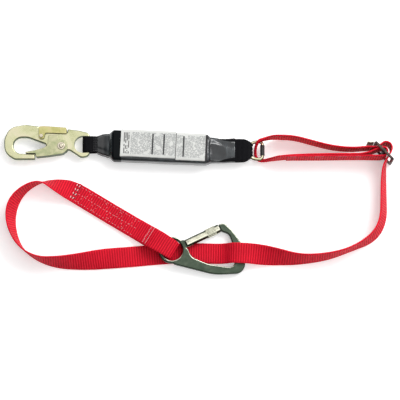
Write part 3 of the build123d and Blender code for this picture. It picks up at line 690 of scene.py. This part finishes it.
def stitches(name, marks, material, radius=0.00045):
    """Thread stitches: each mark is its middle, direction, lift direction and length."""
    points, faces = [], []
    rings, sides = 7, 6
    for middle, along, up, length in marks:
        along, up = along.normalized(), up.normalized()
        side = along.cross(up).normalized()
        start = len(points)
        for i in range(rings):
            t = -1 + 2 * i / (rings - 1)
            arch = radius * 0.9 * (1 - t * t) - radius * 0.45
            thick = radius * max(0.18, math.sqrt(max(0.0, 1 - 0.92 * t ** 4)))
            centre = middle + along * (t * length / 2) + up * arch
            for j in range(sides):
                angle = 2 * math.pi * j / sides
                points.append(centre + (side * math.cos(angle) + up * math.sin(angle)) * thick)
        for i in range(rings - 1):
            for j in range(sides):
                a, b = start + i * sides + j, start + i * sides + (j + 1) % sides
                faces.append((a, b, b + sides, a + sides))
        faces.append(tuple(start + j for j in reversed(range(sides))))
        faces.append(tuple(start + (rings - 1) * sides + j for j in range(sides)))
    return mesh_object(name, points, faces, material)


def jitter(size):
    """The next random offset, up to size either way."""
    return (rng.random() - 0.5) * 2 * size


# ---- red webbing ----
leg = Strap("leg", LEG_ROUTE, RIB / 6)
red_leg = leg.mesh("red_leg", RED, "red_webbing", RIB, RIB_DEEP, WEB_T, seed=1.0)
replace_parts(red_leg, "leg_webbing")
tail = Strap("tail", TAIL_ROUTE, RIB / 6)
red_tail = tail.mesh("red_leg_tail", RED, "red_webbing", RIB, RIB_DEEP, WEB_T, seed=2.0)
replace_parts(red_tail, "leg_sewn_tail")
adjuster = Strap("adjuster", ADJUSTER_ROUTE, RIB / 6)
red_adjuster = adjuster.mesh("red_adjuster", RED, "red_webbing", RIB, RIB_DEEP, WEB_T, seed=3.0)
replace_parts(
    red_adjuster, "adjuster_upper_strand", "adjuster_slider_wrap", "adjuster_sewn_strand",
    "adjuster_ring_turn",
)


def nearest_run(strap, x, y):
    """How far along the strap its line comes nearest to x, y."""
    best = min(range(strap.count), key=lambda i: (strap.at[i].x - x) ** 2 + (strap.at[i].y - y) ** 2)
    return strap.length * best / (strap.count - 1)


def row_of_stitches(strap, start, end, across, pitch, length, lift, slant=0.0):
    """Marks for one row of stitches along a strap, at a fixed place across it."""
    marks = []
    u = start
    while u <= end:
        spot, ahead, tall, up = strap.place(u, across + jitter(0.0002), lift)
        marks.append((spot, ahead + tall * slant, up, length + jitter(0.0003)))
        u += pitch
    return marks


def cross_stitches(strap, u, reach, pitch, length, lift, slant=0.0):
    """Marks for one row of stitches across a strap, reaching as far either side of its middle."""
    marks = []
    a = -reach
    while a <= reach:
        spot, ahead, tall, up = strap.place(u + jitter(0.0002), a, lift)
        marks.append((spot, tall + ahead * slant, up, length + jitter(0.0002)))
        a += pitch
    return marks


tail_end = nearest_run(leg, -0.2130, 0.0140)
eye_root = nearest_run(leg, -0.0870, -0.0626)


def eye_heavy_tack():
    """Two bold rows of pale stitches over the tail's cut end."""
    marks = []
    for k in range(2):
        u = tail_end - 0.0010 + k * 0.0050
        marks += cross_stitches(leg, u, 0.0135, 0.0080, 0.0042, FACE, 0.3 * (-1) ** k)
    return stitches("eye_tack_heavy", marks, THREAD_WHITE, 0.00070)


def eye_shaded_tack():
    """Stitches between the bold rows, sunk a little into the webbing, their near-black red a painted
    shade.
    """
    marks = []
    for k in range(2):
        u = tail_end + 0.0012 + k * 0.0050
        marks += cross_stitches(leg, u, 0.0150, 0.0060, 0.0050, FACE - 0.0001)
    return stitches("eye_tack_shaded", marks, THREAD_SHADED, 0.00065)


def eye_pattern():
    """Three rows along the doubled webbing, with a fine zigzag between them."""
    marks = []
    low, high = tail_end + 0.010, eye_root - 0.022
    for across in (-0.0132, 0.0, 0.0132):
        marks += row_of_stitches(leg, low, high, across, 0.0062, 0.0030, FACE, jitter(0.2))
    for k in range(7):
        start = tail_end + 0.014 + k * 0.0150
        for step in range(5):
            u = start + step * 0.0031
            a = -0.0105 + 0.0052 * (step if k % 2 else 4 - step)
            spot, ahead, tall, up = leg.place(u, a + jitter(0.0010), FACE)
            along = tall * (1 if k % 2 else -1) + ahead * 0.55
            marks.append((spot, along, up, 0.0022 + jitter(0.0006)))
    return stitches("eye_sewn_rows", marks, THREAD_PALE, 0.00036)


def eye_root_tack():
    """Two straight rows across the webbing where the eye opens."""
    marks = []
    for k in range(2):
        u = eye_root - 0.0010 + k * 0.0058
        marks += cross_stitches(leg, u, 0.0150, 0.0029, 0.0027, FACE)
    return stitches("eye_root_tack", marks, THREAD_PALE, 0.00055)


tack_heavy = eye_heavy_tack()
tack_shaded = eye_shaded_tack()
sewn_rows = eye_pattern()
tack_root = eye_root_tack()
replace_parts(tack_heavy, "leg_end_bar_tack")
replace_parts(tack_root, "leg_eye_bar_tack")


def adjuster_thread():
    """Four tacks on the outer face of the doubled strand, each with one row along its top edge."""
    marks = []
    for low, high in ((0.003, 0.016), (0.050, 0.064), (0.090, 0.104), (0.120, 0.128)):
        for height in (-0.012, -0.004, 0.004, 0.012):
            marks += row_of_stitches(adjuster, low, high, height, 0.0036, 0.0024, -FACE)
        marks += row_of_stitches(adjuster, low, high, 0.0165, 0.0030, 0.0023, -FACE)
    return stitches("adjuster_tacks", marks, THREAD_RED, 0.00045)


adjuster_tacks = adjuster_thread()
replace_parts(adjuster_tacks, "adjuster_stitching")

# ---- black loops and the folded pack ----
left = Strap("left_black", LEFT_LOOP_ROUTE, BLACK_RIB / 4, (0, 1, 0))
right = Strap("right_black", RIGHT_LOOP_ROUTE, BLACK_RIB / 4, (0, 1, 0))
tear = Strap("tear", TEAR_ROUTE, BLACK_RIB, (0, 1, 0))
backup = Strap("backup", BACKUP_ROUTE, BLACK_RIB, (0, 1, 0))


def black_strap(strap, name, rib, deep, across, seed, cup, stands_for):
    """Black webbing along a strap's line, in place of one CAD node."""
    made = strap.mesh(name, BLACK, "black_webbing", rib, deep, BLACK_T, across, seed, cup)
    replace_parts(made, stands_for)


black_strap(left, "black_left_loop", BLACK_RIB, BLACK_RIB_DEEP, 9, 5.0, 0.0002, "left_loop")
black_strap(right, "black_right_loop", BLACK_RIB, BLACK_RIB_DEEP, 11, 6.0, 0.0002, "right_loop")
black_strap(tear, "black_tear_webbing", BLACK_RIB * 4, FOLDED_RIB_DEEP, 7, 7.0, 0.0, "tear_webbing")
black_strap(backup, "black_backup_strap", BLACK_RIB * 4, FOLDED_RIB_DEEP, 7, 8.0, 0.0, "backup_strap")


def loop_thread(name, strap, x_from, x_to, reach, stands_for):
    """Four rows of stitches across the upper half of a black loop."""
    marks = []
    for k in range(4):
        x = x_from + (x_to - x_from) * k / 3
        best = min(range(strap.count // 2), key=lambda i: abs(strap.at[i].x - x))
        u = strap.length * best / (strap.count - 1)
        marks += cross_stitches(strap, u, reach, 0.0031, 0.0026, BLACK_T / 2)
    made = stitches(name, marks, THREAD_BLACK, 0.0005)
    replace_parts(made, stands_for)


loop_thread("left_loop_thread", left, -0.1800, -0.1745, 0.0115, "left_loop_stitching")
loop_thread("right_loop_thread", right, 0.0660, 0.0740, 0.0110, "right_loop_stitching")

# ---- shrink sleeve: x, middle y, middle z, width, height, squareness ----
SLEEVE = [
    (-0.1744, 0.0950, 0.0112, 0.0330, 0.0140, 3.0),
    (-0.1640, 0.0946, 0.0114, 0.0400, 0.0150, 3.0),
    (-0.1540, 0.0930, 0.0122, 0.0430, 0.0175, 3.2),
    (-0.1485, 0.0924, 0.0132, 0.0510, 0.0250, 4.0),
    (-0.1450, 0.0923, 0.0135, 0.0545, 0.0270, 5.5),
    (-0.1000, 0.0903, 0.0135, 0.0541, 0.0270, 6.0),
    (-0.0400, 0.0877, 0.0135, 0.0538, 0.0270, 6.0),
    (0.0120, 0.0855, 0.0135, 0.0535, 0.0270, 5.5),
    (0.0165, 0.0852, 0.0135, 0.0510, 0.0245, 4.0),
    (0.0210, 0.0843, 0.0135, 0.0460, 0.0195, 3.2),
    (0.0400, 0.0836, 0.0138, 0.0440, 0.0150, 3.0),
    (0.0560, 0.0841, 0.0140, 0.0428, 0.0145, 3.0),
    (0.0627, 0.0843, 0.0140, 0.0430, 0.0140, 3.0),
]


def ease(values, x):
    """The sizes that a table gives at x, eased between the rows on either side."""
    x = min(max(x, values[0][0]), values[-1][0])
    k = 0
    while k < len(values) - 2 and values[k + 1][0] < x:
        k += 1
    a, b = values[k], values[k + 1]
    f = (x - a[0]) / (b[0] - a[0])
    f = f * f * (3 - 2 * f) * 0.5 + f * 0.5
    return [p + (q - p) * f for p, q in zip(a[1:], b[1:])]


def sleeve_point(x, angle, shrink=0.0):
    """A point on the film: a rounded box, pleated and crumpled at its necks, with one raised seam."""
    y, z, wide, tall, power = ease(SLEEVE, x)
    c, s = math.cos(angle), math.sin(angle)
    cy = math.copysign(abs(c) ** (2 / power), c)
    sz = math.copysign(abs(s) ** (2 / power), s)
    neck = min(1.0, max(0.0, (abs(x - PACK_MID_X) - NECK_FROM) / NECK_EASE))
    pleat = math.sin(angle * 7 + 5 * noise.noise(Vector((x * 22, angle * 0.6, 0.0))))
    crumple = noise.noise(Vector((x * 42, cy * 2.2, sz * 1.6)))
    fine = noise.noise(Vector((x * 120, cy * 5, sz * 4)))
    inward = shrink + neck * (0.00055 + 0.00045 * pleat + 0.0007 * crumple)
    inward += (1 - neck) * (0.00022 + 0.00022 * crumple) + 0.00012 * (1 + fine)
    seam = (angle - SEAM_AT - 0.03 * noise.noise(Vector((x * 18, 0.0, 7.0)))) / SEAM_WIDE
    inward -= SEAM_RISE * (1 - neck) * math.exp(-seam * seam)
    return Vector((x, y + cy * (wide / 2 - inward), z + sz * (tall / 2 - inward)))


def build_sleeve():
    """The film as one skin, its two cut ends turned in by the film's thickness."""
    points, faces = [], []
    sides, steps, hem_steps = 120, 300, 4
    low, high = SLEEVE[0][0], SLEEVE[-1][0]
    hem = [FILM_HEM * i / hem_steps for i in range(1, hem_steps + 1)]
    rows = [(low + inset, FILM_T) for inset in reversed(hem)] + [(low, FILM_T / 2)]
    rows += [(low + (high - low) * i / steps, 0.0) for i in range(1, steps)]
    rows += [(high, FILM_T / 2)] + [(high - inset, FILM_T) for inset in hem]
    for x, shrink in rows:
        for j in range(sides):
            points.append(sleeve_point(x, 2 * math.pi * j / sides, shrink))
    for i in range(len(rows) - 1):
        for j in range(sides):
            a, b = i * sides + j, i * sides + (j + 1) % sides
            faces.append((a, b, b + sides, a + sides))
    return mesh_object("wrapped_sleeve", points, faces, FILM)


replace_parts(build_sleeve(), "shrink_sleeve")


def label(name, x_from, x_to, y_mid, material, stands_for, lift=0.0):
    """A printed panel lying on the wrapped pack, turned with it, its long edges bent down a little."""
    points, faces, uv = [], [], []
    turn = math.radians(PACK_TURN)
    middle = (x_from + x_to) / 2
    nx, ny = max(2, round((x_to - x_from) / LABEL_STEP)), 30
    for i in range(nx + 1):
        for j in range(ny + 1):
            u = (x_to - x_from) * i / nx
            v = LABEL_W * (j / ny - 0.5)
            dx = u - (x_to - x_from) / 2
            x = middle + dx * math.cos(turn) - v * math.sin(turn)
            y = y_mid + dx * math.sin(turn) + v * math.cos(turn)
            wave = 0.00016 * noise.noise(Vector((x * 45, y * 70, 2.0)))
            past = max(0.0, abs(v) / (LABEL_W / 2) - LABEL_FLAT) / (1 - LABEL_FLAT)
            points.append(Vector((x, y, PACK_TOP + lift + wave - LABEL_DROP * past ** 2)))
            uv.append((u, v))
    for i in range(nx):
        for j in range(ny):
            a = i * (ny + 1) + j
            faces.append((a, a + ny + 1, a + ny + 2, a + 1))
    rim = [i * (ny + 1) for i in range(nx + 1)]
    rim += [nx * (ny + 1) + j for j in range(1, ny + 1)]
    rim += [i * (ny + 1) + ny for i in reversed(range(nx))]
    rim += [j for j in reversed(range(1, ny))]
    top, bottom = len(points), len(points) + len(rim)
    points += [points[k].copy() for k in rim]
    points += [points[k] - Vector((0, 0, LABEL_T)) for k in rim]
    uv += [uv[k] for k in rim] * 2
    for k in range(len(rim)):
        after = (k + 1) % len(rim)
        faces.append((top + after, top + k, bottom + k, bottom + after))
    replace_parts(mesh_object(name, points, faces, material, uv), stands_for)


label("pack_label_main", -0.1336, -0.0394, 0.0934, LABEL_MAIN, "label_main")
label("pack_label_side", -0.0384, 0.0116, 0.0882, LABEL_SIDE, "label_side", 0.0001)
label("pack_label_strip", 0.0119, 0.0153, 0.0855, LABEL_BLACK, "label_edge_strip")

# ---- floor, light and camera ----
floor_data = bpy.data.meshes.new("floor")
floor_data.from_pydata([(-4, -4, 0), (4, -4, 0), (4, 4, 0), (-4, 4, 0)], [], [(0, 1, 2, 3)])
floor = bpy.data.objects.new("floor", floor_data)
bpy.context.scene.collection.objects.link(floor)
floor_material, floor_tree, floor_shader = new_material("studio_floor")
floor_place = node(floor_tree, "ShaderNodeTexCoord").outputs["Object"]
floor_tone = ramp(
    floor_tree, grain(floor_tree, floor_place, 3.0), (0.3, (0.90, 0.90, 0.90)), (0.7, (0.93, 0.93, 0.93)),
)
feed(floor_tree, floor_shader, Base_Color=floor_tone, Roughness=0.9, Emission_Color=(1.0, 1.0, 1.0, 1.0))
floor_shader.inputs["Emission Strength"].default_value = FLOOR_GLOW
floor_data.materials.append(floor_material)

world = bpy.data.worlds.new("studio")
bpy.context.scene.world = world
world.use_nodes = True
sky = world.node_tree
way = node(sky, "ShaderNodeSeparateXYZ", {0: node(sky, "ShaderNodeTexCoord").outputs["Generated"]})
slope = calc(sky, "MULTIPLY_ADD", way.outputs[1], 0.22, calc(sky, "MULTIPLY", way.outputs[2], 0.80))
slope = calc(sky, "MULTIPLY_ADD", way.outputs[0], 0.30, slope)
dark_sky, mid_sky, bright_sky = (0.03, 0.03, 0.03), (0.22, 0.22, 0.22), (1.0, 1.0, 1.0)
glow = ramp(sky, slope, (0.10, dark_sky), (0.45, mid_sky), (0.72, bright_sky))
sky.links.new(glow, sky.nodes["Background"].inputs[0])
sky.nodes["Background"].inputs[1].default_value = SKY_POWER


def softbox(name, place, target, size, power):
    """A rectangular lamp at place that shines towards target."""
    data = bpy.data.lights.new(name, "AREA")
    data.shape = "RECTANGLE"
    data.size, data.size_y = size
    data.energy = power
    lamp = bpy.data.objects.new(name, data)
    bpy.context.scene.collection.objects.link(lamp)
    lamp.location = place
    lamp.rotation_mode = "QUATERNION"
    lamp.rotation_quaternion = (Vector(target) - Vector(place)).to_track_quat("-Z", "Y")


softbox("key", (1.00, 1.10, 1.40), (0.0, 0.0, 0.0), (1.3, 1.0), 29.0)
softbox("rim", (-0.9, 1.5, 1.0), (0.0, 0.0, 0.0), (0.9, 0.5), 4.0)
softbox("fill", (0.8, -1.3, 1.6), (0.0, 0.0, 0.0), (1.4, 1.0), 9.0)

ELEVATION = math.radians(79.0)
DISTANCE = 2.862
camera_data = bpy.data.cameras.new("camera")
camera_data.lens = 150.0
camera_data.sensor_width = 36.0
camera_data.clip_end = 50.0
camera = bpy.data.objects.new("camera", camera_data)
bpy.context.scene.collection.objects.link(camera)
aim = Vector((0.0024, 0.0006, 0.0))
back = Vector((0.0, -math.cos(ELEVATION), math.sin(ELEVATION)))
camera.location = aim + back * DISTANCE
camera.rotation_mode = "QUATERNION"
camera.rotation_quaternion = (-back).to_track_quat("-Z", "Y")
bpy.context.scene.camera = camera
bpy.context.scene.view_settings.view_transform = "Standard"
